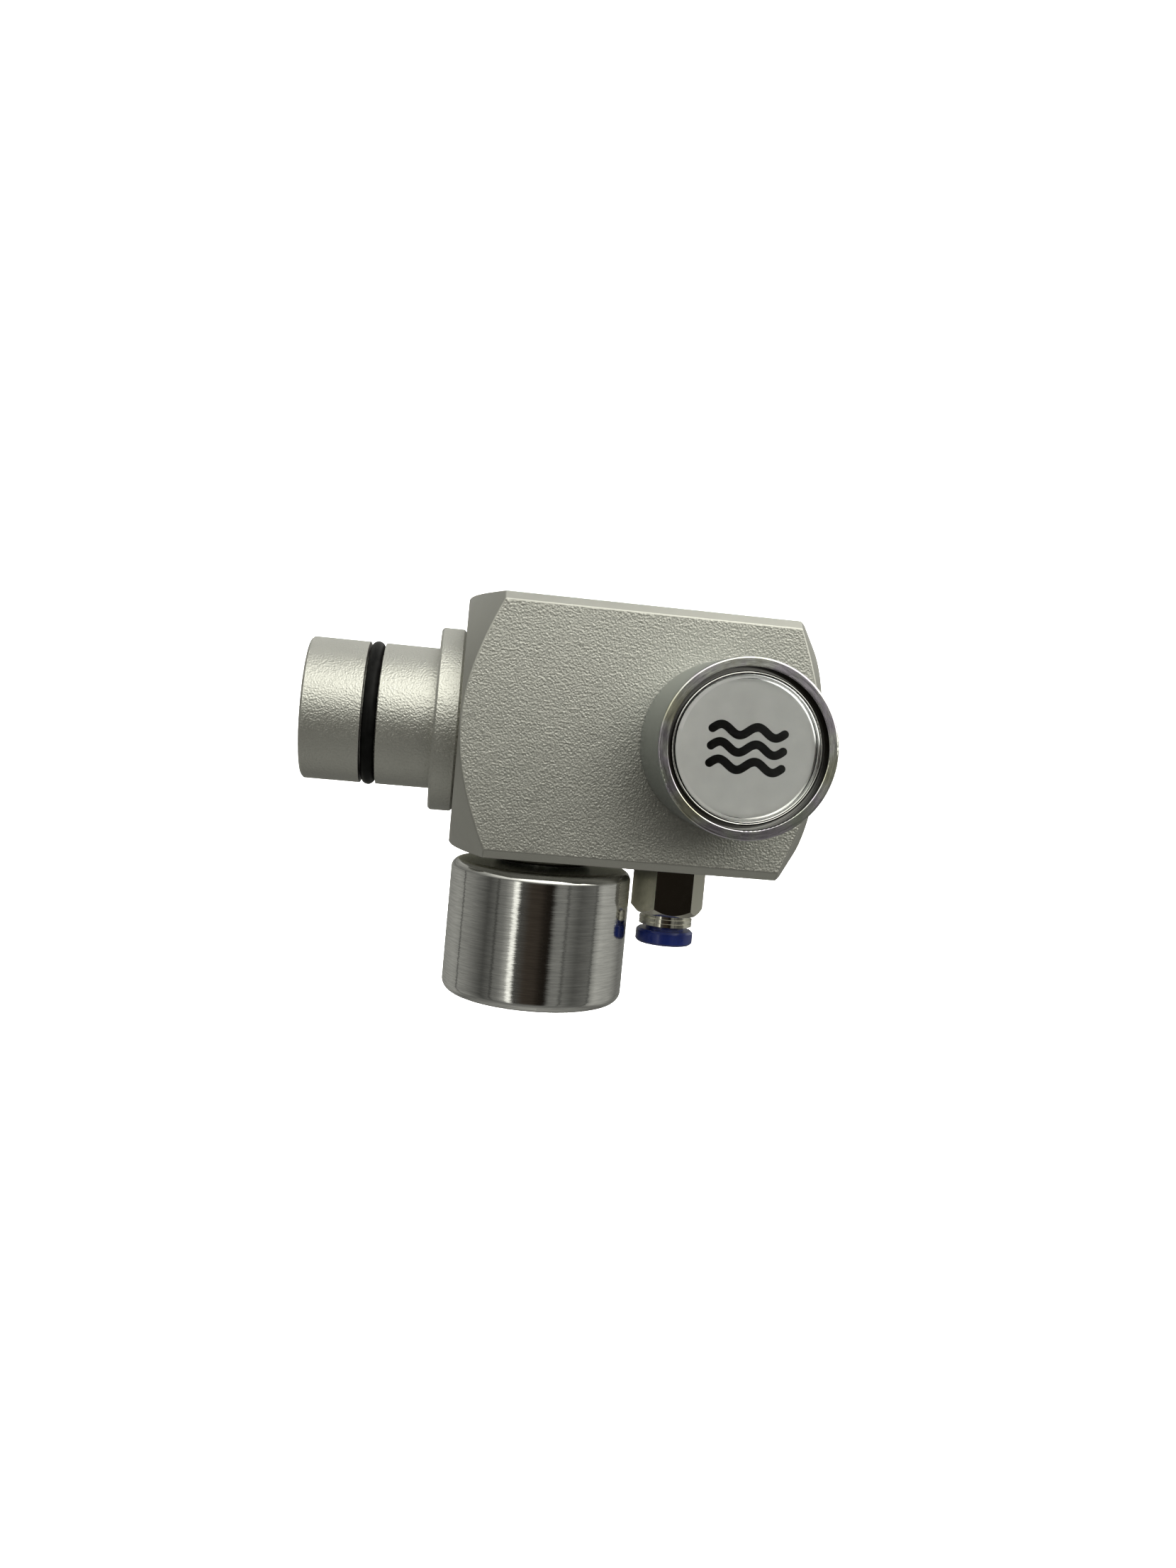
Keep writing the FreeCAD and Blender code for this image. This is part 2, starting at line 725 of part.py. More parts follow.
def button_cap():
    """Cup-shaped cap: lens recess in front, stop flange, skirt, and a boss for the stem."""
    web_front = "cap_front - cap_recess_depth"
    web_back = f"{web_front} - cap_web"
    flange_front = "bezel_height - bezel_lip - collar_play"
    hole = "stem_radius + thread_gap"
    cap = turned("ButtonCap", [
        ("0", web_front),
        ("cap_recess_radius", web_front),
        ("cap_recess_radius", "cap_front"),
        ("cap_radius", "cap_front"),
        ("cap_radius", flange_front),
        ("cap_flange_radius", flange_front),
        ("cap_flange_radius", f"{flange_front} - cap_flange_thick"),
        ("cap_radius", f"{flange_front} - cap_flange_thick"),
        ("cap_radius", "cap_skirt_end"),
        ("cap_skirt_radius", "cap_skirt_end"),
        ("cap_skirt_radius", web_back),
        ("cap_boss_radius", web_back),
        ("cap_boss_radius", "cap_boss_end"),
        (hole, "cap_boss_end"),
        (hole, "cap_boss_end + cap_hole_depth"),
        ("0", "cap_boss_end + cap_hole_depth"),
    ])
    round_edges(cap, rim("cap_recess_radius", "cap_front"), "cap_edge")
    round_edges(cap, rim("cap_radius", "cap_front"), "cap_edge")
    stand(cap, "front", x="button_across", y="-block_side / 2")
    keep(cap, "button_cap")


def button_face():
    """Printed disc in the cap's recess and the clear lens over it."""
    floor = "cap_recess_depth - cap_front - block_side / 2"
    label = turned("LabelDisc", ring_corners("0", "label_radius", "0", "label_thick"))
    stand(label, "front", x="button_across", y=floor)
    keep(label, "button_label")

    lens = turned("LensDisc", [
        ("0", "0"),
        ("lens_radius", "0"),
        ("lens_radius", "lens_thick - lens_chamfer"),
        ("lens_radius - lens_chamfer", "lens_thick"),
        ("0", "lens_thick"),
    ])
    stand(lens, "front", x="button_across", y=f"{floor} - label_thick - small_gap")
    keep(lens, "button_lens")


def button_spring():
    """Return spring between the base's flange and the cap's web."""
    web_back = "cap_front - cap_recess_depth - cap_web"
    length = f"{web_back} - base_flange_thick - 2 * small_gap"
    spring = coil_spring(
        "ButtonSpring", "button_spring_radius", "button_spring_wire", length, "button_spring_coils"
    )
    stand(spring, "front", x="button_across", y="-block_side / 2 - base_flange_thick - small_gap")
    keep(spring, "button_spring")


# ---------------------------------------------------------------- button valve inside the block


def valve_stem():
    """Stem from the cap's boss through the base, the seat and into the poppet."""
    inner_end = "(poppet_front + stem_in_poppet)"
    outer_end = "(block_side / 2 + cap_boss_end + cap_hole_depth - small_gap)"
    stem = cylinder("ValveStem", "stem_radius", f"{inner_end} + {outer_end}")
    stand(stem, "front", x="button_across", y=inner_end)
    keep(stem, "valve_stem")


def valve_seat():
    """Seat insert with a raised lip round its orifice, on the inlet side."""
    disc_end = "seat_pocket_length - small_gap - seat_lip"
    seat = turned("ValveSeat", [
        ("seat_orifice_radius", "0"),
        ("seat_pocket_radius - small_gap", "0"),
        ("seat_pocket_radius - small_gap", disc_end),
        ("seat_lip_radius", disc_end),
        ("seat_lip_radius", f"{disc_end} + seat_lip"),
        ("seat_orifice_radius", f"{disc_end} + seat_lip"),
    ])
    stand(seat, "back", x="button_across", y="button_bore_end - inlet_chamber_length - seat_pocket_length")
    keep(seat, "valve_seat")


def poppet():
    """Poppet with a spring tail, and the soft pad in its face that closes the seat."""
    hole = "stem_radius + thread_gap"
    recess = "pad_thick - pad_proud + small_gap"
    body = turned("Poppet", [
        (hole, recess),
        ("pad_radius + small_gap", recess),
        ("pad_radius + small_gap", "0"),
        ("poppet_radius", "0"),
        ("poppet_radius", "poppet_disc"),
        ("poppet_tail_radius", "poppet_disc"),
        ("poppet_tail_radius", "poppet_disc + poppet_tail"),
        ("0", "poppet_disc + poppet_tail"),
        ("0", "stem_in_poppet + small_gap"),
        (hole, "stem_in_poppet + small_gap"),
    ])
    stand(body, "back", x="button_across", y="poppet_front")
    keep(body, "poppet")

    pad = turned("PoppetPad", ring_corners("stem_radius + small_gap", "pad_radius", "0", "pad_thick"))
    stand(pad, "back", x="button_across", y="poppet_front - pad_proud")
    keep(pad, "poppet_pad")


def poppet_spring():
    """Spring between the poppet and the blind end of the bore."""
    seat_plane = "poppet_front + poppet_disc + small_gap"
    length = f"button_bore_end - small_gap - ({seat_plane})"
    spring = coil_spring(
        "PoppetSpring", "poppet_spring_radius", "poppet_spring_wire", length, "poppet_spring_coils"
    )
    stand(spring, "back", x="button_across", y=seat_plane)
    keep(spring, "poppet_spring")


# ---------------------------------------------------------------- needle valve and flow knob


def needle_seat():
    """Brass orifice above the needle, countersunk towards it."""
    entry = "needle_entry_radius - needle_orifice_radius"
    seat = turned("NeedleSeat", [
        ("needle_orifice_radius", "0"),
        ("needle_seat_radius", "0"),
        ("needle_seat_radius", "needle_seat_length - 2 * small_gap"),
        ("needle_entry_radius", "needle_seat_length - 2 * small_gap"),
        ("needle_orifice_radius", f"needle_seat_length - 2 * small_gap - ({entry})"),
    ])
    stand(seat, "down", x="knob_across", z="needle_bore_top - upper_chamber_length")
    keep(seat, "needle_seat")


def bonnet():
    """Bonnet screwed into the underside: collar bore, seal groove and flange."""
    neck = "bonnet_neck_length + bonnet_washer_thick"
    end = f"{neck} + bonnet_flange_thick"
    bore = "shaft_radius + running_gap"
    groove_high = f"{end} - shaft_seal_depth"
    body = turned("Bonnet", [
        ("collar_bore_radius", "0"),
        ("bonnet_radius", "0"),
        ("bonnet_radius", neck),
        ("bonnet_flange_radius", neck),
        ("bonnet_flange_radius", f"{end} - edge_break"),
        ("bonnet_flange_radius - edge_break", end),
        (bore, end),
        (bore, groove_high),
        ("shaft_seal_groove_radius", groove_high),
        ("shaft_seal_groove_radius", f"{groove_high} - shaft_seal_groove_width"),
        (bore, f"{groove_high} - shaft_seal_groove_width"),
        (bore, "collar_bore_depth"),
        ("collar_bore_radius", "collar_bore_depth"),
    ])
    stand(body, "down", x="knob_across", z=BONNET_TOP)
    keep(body, "bonnet")

    washer = turned("BonnetWasher", ring_corners(
        "bonnet_radius + small_gap", "bonnet_flange_radius", "0", "bonnet_washer_thick"
    ))
    stand(washer, "down", x="knob_across", z=UNDERSIDE)
    keep(washer, "bonnet_washer")

    bonnet_end = f"{UNDERSIDE} - bonnet_washer_thick - bonnet_flange_thick"
    seal_centre = f"{bonnet_end} + shaft_seal_depth + shaft_seal_groove_width / 2"
    o_ring("shaft_seal", "shaft_seal_centre", "shaft_seal_section", "down", x="knob_across", z=seal_centre)


def collar_stack():
    """Guide plate with two flats for the needle, and the washer that the collar turns on."""
    plate = turned("GuidePlate", ring_corners("0", "collar_bore_radius - small_gap", "0", "guide_thick"))
    round_hole = cylinder("GuideHole", "guide_hole_radius", "guide_thick")
    flats = bar("GuideFlats", "guide_flats", "guide_hole_radius * 2", "guide_thick")
    guide = cut("NeedleGuide", plate, shared("GuideOpening", round_hole, flats))
    stand(guide, "down", x="knob_across", z=BONNET_TOP)
    keep(guide, "needle_guide")

    washer = turned("ThrustWasher", ring_corners(
        "shaft_radius", "collar_radius", "0", "thrust_washer_thick"
    ))
    stand(washer, "down", x="knob_across", z=f"{GUIDE_BOTTOM} - small_gap")
    keep(washer, "thrust_washer")


def knob_shaft():
    """Shaft with a captive collar; the needle's thread runs inside its upper end."""
    shaft = turned("KnobShaft", [
        ("shaft_thread_radius", "0"),
        ("collar_radius", "0"),
        ("collar_radius", "collar_thick"),
        ("shaft_radius", "collar_thick"),
        ("shaft_radius", "shaft_length"),
        ("0", "shaft_length"),
        ("0", "shaft_thread_depth"),
        ("shaft_thread_radius", "shaft_thread_depth"),
    ])
    stand(shaft, "down", x="knob_across", z=COLLAR_TOP)
    keep(shaft, "knob_shaft")


def flow_needle():
    """Non-turning needle: cone, neck, guided flats and the thread that the shaft drives."""
    cone_end = "needle_cone"
    neck_end = f"{cone_end} + needle_neck"
    flats_end = f"{neck_end} + needle_guided_length"
    blank = turned("NeedleBlank", [
        ("0", "0"),
        ("needle_tip_radius", "0"),
        ("needle_radius", cone_end),
        ("needle_radius", neck_end),
        ("needle_guided_radius", neck_end),
        ("needle_guided_radius", flats_end),
        ("needle_radius", flats_end),
        ("needle_radius", f"{flats_end} + needle_thread_length"),
        ("0", f"{flats_end} + needle_thread_length"),
    ])
    length = f"{flats_end} + needle_thread_length"
    flats = bar("NeedleFlats", "needle_flats", "needle_guided_radius * 2", length)
    needle = shared("FlowNeedle", blank, flats)
    stand(needle, "down", x="knob_across", z="needle_tip_rise")
    keep(needle, "flow_needle")


def flow_knob():
    """Turned aluminium knob with a blind bore for the shaft and a cross hole for its screw."""
    blank = turned("KnobBlank", [
        ("shaft_radius + thread_gap", "0"),
        ("knob_radius", "0"),
        ("knob_radius", "knob_height"),
        ("0", "knob_height"),
        ("0", "knob_bore_depth"),
        ("shaft_radius + thread_gap", "knob_bore_depth"),
    ])
    round_edges(blank, rim("knob_radius", "0"), "knob_top_round")
    round_edges(blank, rim("knob_radius", "knob_height"), "knob_bottom_round")
    knob_top = f"{UNDERSIDE} - knob_gap"
    stand(blank, "down", x="knob_across", z=knob_top)
    cross_hole = cylinder("KnobCrossHole", "set_screw_radius + small_gap", "knob_radius + over_cut")
    screw_height = f"{knob_top} - set_screw_depth"
    stand(cross_hole, "back", x="knob_across", z=screw_height)
    keep(cut("FlowKnob", blank, cross_hole), "flow_knob")

    screw = cylinder("ScrewBody", "set_screw_radius", "set_screw_length")
    key_depth = "set_screw_length / 2"
    key = raised(prism("ScrewKey", "set_screw_socket", "set_screw_length"), key_depth)
    set_screw = cut("SetScrew", screw, key)
    stand(set_screw, "back", x="knob_across", y="shaft_radius + small_gap", z=screw_height)
    keep(set_screw, "knob_set_screw")


# ---------------------------------------------------------------- push-in tube fitting


def fitting_body():
    """Nickel-plated body: threaded neck, chamfered hexagon and a short collar below it."""
    zero = "fitting_neck_length"
    corner = "fitting_hex / 3 ^ 0.5"
    washer = f"{zero} + fitting_washer_thick"
    hex_end = f"{zero} + fitting_hex_end"
    end = f"{zero} + fitting_collar_end"
    turned_blank = turned("FittingBlank", [
        ("fitting_port_radius", "0"),
        ("fitting_neck_radius", "0"),
        ("fitting_neck_radius", washer),
        (f"{corner} - fitting_hex_top_chamfer", washer),
        (corner, f"{washer} + fitting_hex_top_chamfer"),
        (corner, f"{hex_end} - fitting_hex_chamfer"),
        (f"{corner} - fitting_hex_chamfer", hex_end),
        ("fitting_collar_radius", hex_end),
        ("fitting_collar_radius", end),
        ("fitting_chamber_radius", end),
        ("fitting_chamber_radius", f"{zero} + tube_nose_end"),
        (TUBE_BORE, f"{zero} + tube_nose_end"),
        (TUBE_BORE, f"{zero} + tube_stop"),
        ("fitting_port_radius", f"{zero} + tube_stop"),
    ])
    hexagon = prism("FittingHexagon", "fitting_hex", end)
    body = shared("FittingBody", turned_blank, hexagon)
    stand(body, "down", x="fitting_across", z=f"{UNDERSIDE} + fitting_neck_length")
    keep(body, "fitting_body")

    washer_ring = turned("FittingWasher", ring_corners(
        "fitting_neck_radius + small_gap", "fitting_washer_radius", "0", "fitting_washer_thick"
    ))
    stand(washer_ring, "down", x="fitting_across", z=UNDERSIDE)
    keep(washer_ring, "fitting_washer")


def tube_grip():
    """Tube seal and the slotted spring-steel ring whose teeth hold the tube."""
    section_centre = f"{TUBE_BORE} + tube_seal_section / 2"
    seal_height = f"{UNDERSIDE} - tube_seal_depth"
    o_ring("tube_seal", section_centre, "tube_seal_section", "down", x="fitting_across", z=seal_height)

    outer = "fitting_chamber_radius - small_gap"
    ring = turned("GripRing", [
        (f"{outer} - grip_rim", "0"),
        (outer, "0"),
        (outer, "grip_plate"),
        (f"{TUBE_BORE} + grip_rim", "grip_rise"),
        (f"{TUBE_BORE} + small_gap", "grip_rise"),
    ])
    slot_count = int(value("grip_slots"))
    slots = []
    for number in range(slot_count):
        slot = bar(f"GripSlot{number}", "grip_slot", f"2 * ({outer} - grip_rim)", "grip_rise")
        slot.Placement.Rotation = FreeCAD.Rotation(FreeCAD.Vector(0, 0, 1), 180 * number / slot_count)
        slots.append(slot)
    grip = cut("TubeGrip", ring, joined("GripSlots", slots))
    stand(grip, "down", x="fitting_across", z=f"{UNDERSIDE} - grip_depth")
    keep(grip, "tube_grip")


def guide_ring():
    """Nickel-plated ring pressed into the collar; it stops the release ring falling out."""
    bore = "release_radius + release_side_gap"
    shoulder = "fitting_collar_end - guide_ring_top"
    groove_top = "guide_ring_groove_top - guide_ring_top"
    groove_end = f"{groove_top} + guide_ring_groove_width"
    groove_radius = "guide_ring_radius - guide_ring_groove_depth"
    end = "guide_ring_end - guide_ring_top"
    ring = turned("GuideRing", [
        (bore, "0"),
        ("fitting_chamber_radius - thread_gap", "0"),
        ("fitting_chamber_radius - thread_gap", shoulder),
        ("guide_ring_radius", shoulder),
        ("guide_ring_radius", groove_top),
        (groove_radius, groove_top),
        (groove_radius, groove_end),
        ("guide_ring_radius", groove_end),
        ("guide_ring_radius", end),
        (bore, end),
    ])
    stand(ring, "down", x="fitting_across", z=f"{UNDERSIDE} - guide_ring_top")
    keep(ring, "guide_ring")


def release_ring():
    """Plastic ring that is pushed in to free the tube: lip, sleeve and flared rim."""
    rim_top = "release_rim_top - release_top"
    end = "release_rim_end - release_top"
    ring = turned("ReleaseRing", [
        (TUBE_BORE, "0"),
        ("release_lip_radius", "0"),
        ("release_lip_radius", "release_lip"),
        ("release_radius", "release_lip"),
        ("release_radius", rim_top),
        ("release_rim_radius - release_mouth", rim_top),
        ("release_rim_radius", f"{rim_top} + release_mouth"),
        ("release_rim_radius", f"{end} - release_mouth"),
        ("release_rim_radius - release_mouth", end),
        (f"{TUBE_BORE} + release_mouth", end),
        (TUBE_BORE, f"{end} - release_mouth"),
    ])
    stand(ring, "down", x="fitting_across", z=f"{UNDERSIDE} - release_top")
    keep(ring, "release_ring")


# ---------------------------------------------------------------- build and export


def check_document():
    """Stop if any object failed or any sub-part has no valid solid."""
    for item in doc.Objects:
        if "Invalid" in item.State or "Error" in item.State:
            raise ValueError(f"{item.Name} failed: {item.State}")
    for label, piece in pieces.items():
        if piece.Shape.isNull() or not piece.Shape.isValid() or not piece.Shape.Solids:
            raise ValueError(f"{label} has no valid solid")


def export_pieces():
    """Write each sub-part to parts/LABEL.step."""
    os.makedirs("parts", exist_ok=True)
    for label, piece in pieces.items():
        piece.Shape.exportStep(f"parts/{label}.step")


fill_sheet()
valve_block()
gallery_plug()
inlet_spigot()
spigot_seals()
inlet_filter()
button_base()
stem_gland()
button_bezel()
button_cap()
button_face()
button_spring()
valve_stem()
valve_seat()
poppet()
poppet_spring()
needle_seat()
bonnet()
collar_stack()
knob_shaft()
flow_needle()
flow_knob()
fitting_body()
tube_grip()
guide_ring()
release_ring()
doc.recompute()
check_document()
export_pieces()
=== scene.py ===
"""Looks for the push-button gas valve head: metal finishes, printed button mark, studio and camera."""
import json
import math

import bmesh
import bpy
from mathutils import Euler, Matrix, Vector


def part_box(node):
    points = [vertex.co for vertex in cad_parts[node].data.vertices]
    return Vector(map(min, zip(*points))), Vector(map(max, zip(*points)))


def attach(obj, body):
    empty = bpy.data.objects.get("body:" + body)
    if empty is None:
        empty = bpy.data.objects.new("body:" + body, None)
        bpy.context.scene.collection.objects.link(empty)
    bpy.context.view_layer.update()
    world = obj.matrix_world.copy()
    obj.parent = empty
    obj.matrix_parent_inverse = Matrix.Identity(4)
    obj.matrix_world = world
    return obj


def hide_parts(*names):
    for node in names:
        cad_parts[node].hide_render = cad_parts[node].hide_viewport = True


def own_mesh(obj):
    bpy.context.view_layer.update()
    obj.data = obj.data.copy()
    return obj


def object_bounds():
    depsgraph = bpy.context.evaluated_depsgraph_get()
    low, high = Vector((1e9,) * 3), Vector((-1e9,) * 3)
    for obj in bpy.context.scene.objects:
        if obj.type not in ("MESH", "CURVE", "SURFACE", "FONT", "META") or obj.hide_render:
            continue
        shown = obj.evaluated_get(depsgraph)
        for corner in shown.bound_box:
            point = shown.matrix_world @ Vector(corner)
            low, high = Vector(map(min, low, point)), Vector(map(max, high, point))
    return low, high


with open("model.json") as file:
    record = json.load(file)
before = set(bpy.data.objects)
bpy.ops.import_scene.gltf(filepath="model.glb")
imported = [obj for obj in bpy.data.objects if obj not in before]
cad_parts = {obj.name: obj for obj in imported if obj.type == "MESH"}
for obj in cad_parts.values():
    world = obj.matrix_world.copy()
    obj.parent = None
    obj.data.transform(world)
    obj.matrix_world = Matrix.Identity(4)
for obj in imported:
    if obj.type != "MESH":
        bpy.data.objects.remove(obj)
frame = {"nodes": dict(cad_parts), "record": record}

cad_low, cad_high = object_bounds()
MM = 0.001
WHITE = (1.0, 1.0, 1.0, 1.0)
BORE_SHARE = 0.888  # The bezel's bore as a share of its outside.

# The printed waves, as shares of the disc's width.
WAVE_GAP = 0.125
WAVE_LENGTH = 0.53
WAVE_SWING = 0.034
WAVE_STROKE = 0.062
WAVE_TURNS = 2.0
INK_GAP = 0.01 * MM
INK_THICKNESS = 0.02 * MM


# ---------------------------------------------------------------- places, read from the frame


def centre(node):
    """Middle of a CAD node's box."""
    low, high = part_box(node)
    return (low + high) / 2


def size(node):
    """Size of a CAD node's box."""
    low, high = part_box(node)
    return high - low


def placed(name, mesh):
    """A new object in the scene that holds a bmesh, which is freed."""
    data = bpy.data.meshes.new(name)
    mesh.to_mesh(data)
    mesh.free()
    piece = bpy.data.objects.new(name, data)
    bpy.context.scene.collection.objects.link(piece)
    return piece


# ---------------------------------------------------------------- node helpers


class Nodes:
    """A node tree under construction."""

    def __init__(self, tree):
        self.tree = tree

    def add(self, kind, inputs=None, **settings):
        """A node with its settings, and its inputs linked or set."""
        node = self.tree.nodes.new(kind)
        for name, setting in settings.items():
            setattr(node, name, setting)
        for name, source in (inputs or {}).items():
            self.feed(node.inputs[name], source)
        return node

    def feed(self, socket, source):
        """Link a socket to a node's output, or set its value."""
        if isinstance(source, bpy.types.NodeSocket):
            self.tree.links.new(source, socket)
        elif isinstance(source, tuple) and len(source) == 3 and len(socket.default_value) == 4:
            socket.default_value = (*source, 1.0)
        else:
            socket.default_value = source

    def maths(self, operation, first, second=0.0):
        """One arithmetic step."""
        return self.add("ShaderNodeMath", {0: first, 1: second}, operation=operation).outputs[0]

    def share_of(self, value, start, end):
        """0 at start, 1 at end, even between them."""
        inputs = {"Value": value, "From Min": start, "From Max": end}
        return self.add("ShaderNodeMapRange", inputs).outputs[0]

    def blend(self, share, first, second, blend_type="MIX"):
        """One colour changing to another as share goes from 0 to 1."""
        inputs = {"Factor": share, 6: first, 7: second}
        return self.add("ShaderNodeMix", inputs, data_type="RGBA", blend_type=blend_type).outputs[2]

    def ramp(self, value, stops):
        """Colour ramp through (position, colour) stops."""
        node = self.add("ShaderNodeValToRGB", {"Fac": value})
        elements = node.color_ramp.elements
        while len(elements) < len(stops):
            elements.new(0.5)
        for element, (position, colour) in zip(elements, stops):
            element.position = position
            element.color = (*colour, 1.0)
        return node.outputs["Color"]


class Finish(Nodes):
    """A procedural material under construction: one Principled shader and the nodes that feed it."""

    def __init__(self, name, **constants):
        self.material = bpy.data.materials.new(name)
        self.material.use_nodes = True
        super().__init__(self.material.node_tree)
        self.shader = self.tree.nodes["Principled BSDF"]
        for socket, number in constants.items():
            self.shader.inputs[socket.replace("_", " ")].default_value = number
        coordinates = self.add("ShaderNodeTexCoord")
        self.place = coordinates.outputs["Object"]
        self.facing = self.add("ShaderNodeSeparateXYZ", {0: coordinates.outputs["Normal"]}).outputs

    def noise(self, scale, detail=2.0, roughness=0.5, place=None):
        """Noise value, at a scale in features per metre."""
        inputs = {"Vector": place or self.place, "Scale": scale, "Detail": detail, "Roughness": roughness}
        return self.add("ShaderNodeTexNoise", inputs).outputs["Fac"]

    def cells(self, scale, place=None):
        """Rounded cell distance, for hammered or blasted grain."""
        inputs = {"Vector": place or self.place, "Scale": scale, "Smoothness": 0.6}
        node = self.add("ShaderNodeTexVoronoi", inputs, feature="SMOOTH_F1")
        return node.outputs["Distance"]

    def between(self, value, low, high):
        """Map 0..1 onto a range."""
        return self.add("ShaderNodeMapRange", {"Value": value, "To Min": low, "To Max": high}).outputs[0]

    def step(self, value, start, end):
        """0 below start, 1 above end, smooth between them."""
        inputs = {"Value": value, "From Min": start, "From Max": end}
        return self.add("ShaderNodeMapRange", inputs, interpolation_type="SMOOTHSTEP").outputs[0]

    def squarely(self, axis):
        """How squarely the surface faces along an axis, from 0 to 1."""
        return self.maths("ABSOLUTE", self.facing[axis])

    def mixed(self, share, first, second):
        """One number changing to another as share goes from 0 to 1."""
        return self.add("ShaderNodeMix", {"Factor": share, 2: first, 3: second}).outputs[0]

    def bump(self, height, distance, strength=1.0, normal=None):
        """Bump from a height between 0 and 1, as deep as distance in metres."""
        inputs = {"Height": height, "Distance": distance, "Strength": strength}
        if normal is not None:
            inputs["Normal"] = normal
        return self.add("ShaderNodeBump", inputs).outputs["Normal"]

    def colour(self, source):
        """Set the base colour."""
        self.feed(self.shader.inputs["Base Color"], source)

    def rough(self, source):
        """Set the roughness."""
        self.feed(self.shader.inputs["Roughness"], source)

    def normal(self, source):
        """Set the shading normal."""
        self.feed(self.shader.inputs["Normal"], source)

    def glow(self):
        """Let the surface shine white, as strong as its Emission Strength."""
        self.shader.inputs["Emission Color"].default_value = WHITE

    def lathe_place(self, axis, middle, round_scale):
        """Coordinates of a turned surface: distance from its axis, place along it, and angle."""
        shift = self.add("ShaderNodeVectorMath", {0: self.place, 1: tuple(middle)}, operation="SUBTRACT")
        split = self.add("ShaderNodeSeparateXYZ", {"Vector": shift.outputs[0]})
        along = split.outputs[axis]
        across = [split.outputs[name] for name in "XYZ" if name != axis]
        squares = [self.maths("MULTIPLY", side, side) for side in across]
        radius = self.maths("SQRT", self.maths("ADD", *squares))
        angle = self.maths("MULTIPLY", self.maths("ARCTAN2", *across), round_scale * MM)
        joined = self.add("ShaderNodeCombineXYZ", {"X": radius, "Y": along, "Z": angle})
        return joined.outputs["Vector"]


# ---------------------------------------------------------------- finishes


def blasted_aluminium(name, brightness, roughness, grain_depth, lathe_axis=None, lathe_middle=None):
    """Bead-blasted, clear-anodised aluminium: fine rounded grain over a slow change of tone."""
    finish = Finish(name, Metallic=0.85, Roughness=roughness, Specular_IOR_Level=0.5)
    dark, light = ((level, level, 0.93 * level) for level in (0.95 * brightness, 1.05 * brightness))
    finish.colour(finish.ramp(finish.noise(38.0, detail=3.0), [(0.3, dark), (0.7, light)]))
    patches = finish.noise(420.0, detail=4.0)
    finish.rough(finish.between(patches, roughness - 0.06, roughness + 0.06))
    grain = finish.cells(2600.0)
    fine = finish.noise(3400.0, detail=2.0, roughness=0.6)
    height = finish.maths("ADD", finish.maths("MULTIPLY", grain, 0.6), finish.maths("MULTIPLY", fine, 0.8))
    if lathe_axis:
        lines = finish.noise(2600.0, detail=3.0, place=finish.lathe_place(lathe_axis, lathe_middle, 2.0))
        rings = finish.bump(lines, 0.022 * MM, 0.8)
        finish.normal(finish.bump(height, grain_depth, normal=rings))
        return finish.material
    # The flats keep the full grain; the turned ends and chamfers were cut after blasting.
    flat = finish.maths("MAXIMUM", finish.squarely("X"), finish.squarely("Y"))
    flat = finish.maths("MAXIMUM", flat, finish.squarely("Z"))
    height = finish.maths("MULTIPLY", height, finish.between(finish.step(flat, 0.965, 0.995), 0.15, 1.0))
    finish.normal(finish.bump(height, grain_depth))
    return finish.material


def turned_metal(name, node, axis, tone, roughness, anisotropic, line_depth):
    """Lathe-turned metal: fine rings round the piece's own axis."""
    finish = Finish(name, Metallic=1.0, Roughness=roughness, Anisotropic=anisotropic)
    place = finish.lathe_place(axis, centre(node), 1.2)
    lines = finish.noise(2900.0, detail=4.0, roughness=0.75, place=place)
    dark, light = (tuple(channel * factor for channel in tone) for factor in (0.80, 1.10))
    finish.colour(finish.ramp(lines, [(0.35, dark), (0.65, light)]))
    finish.rough(finish.between(finish.noise(520.0, place=place), roughness * 0.8, roughness * 1.25))
    tangent = finish.add("ShaderNodeTangent", direction_type="RADIAL", axis=axis).outputs["Tangent"]
    finish.feed(finish.shader.inputs["Tangent"], tangent)
    finish.normal(finish.bump(lines, line_depth, 0.7))
    return finish.material


def turned_knob():
    """Diamond-turned knob: near-mirror wall with fine rings that each catch the light a little aside."""
    finish = Finish("turned_knob", Metallic=1.0, Roughness=0.06, Anisotropic=0.7)
    place = finish.lathe_place("Z", centre("flow_knob"), 0.8)
    lines = finish.noise(3800.0, detail=4.0, roughness=0.8, place=place)
    # The rings are lighter and darker in turn: ring tone, and in part painted glints along the rings.
    wall = finish.ramp(lines, [(0.34, (0.64, 0.64, 0.63)), (0.66, (0.98, 0.98, 0.96))])
    # The top face was never polished, so it is dull; its colour is painted darker and olive, as painted
    # shade and a painted reflection of the block above it.
    shaded_top = finish.step(finish.facing["Z"], 0.80, 0.97)
    finish.colour(finish.blend(shaded_top, wall, (0.78, 0.79, 0.67)))
    finish.rough(finish.mixed(shaded_top, finish.between(finish.noise(520.0, place=place), 0.045, 0.075), 0.34))
    tangent = finish.add("ShaderNodeTangent", direction_type="RADIAL", axis="Z").outputs["Tangent"]
    finish.feed(finish.shader.inputs["Tangent"], tangent)
    streaks = finish.noise(5200.0, detail=4.0, roughness=0.8, place=place)
    aside = finish.between(streaks, -0.05, 0.05)
    push = finish.add("ShaderNodeVectorMath", {0: tangent, "Scale": aside}, operation="SCALE").outputs[0]
    ringed = finish.bump(lines, 0.008 * MM, 0.7)
    swayed = finish.add("ShaderNodeVectorMath", {0: ringed, 1: push}, operation="ADD").outputs[0]
    finish.normal(finish.add("ShaderNodeVectorMath", {0: swayed}, operation="NORMALIZE").outputs[0])
    return finish.material


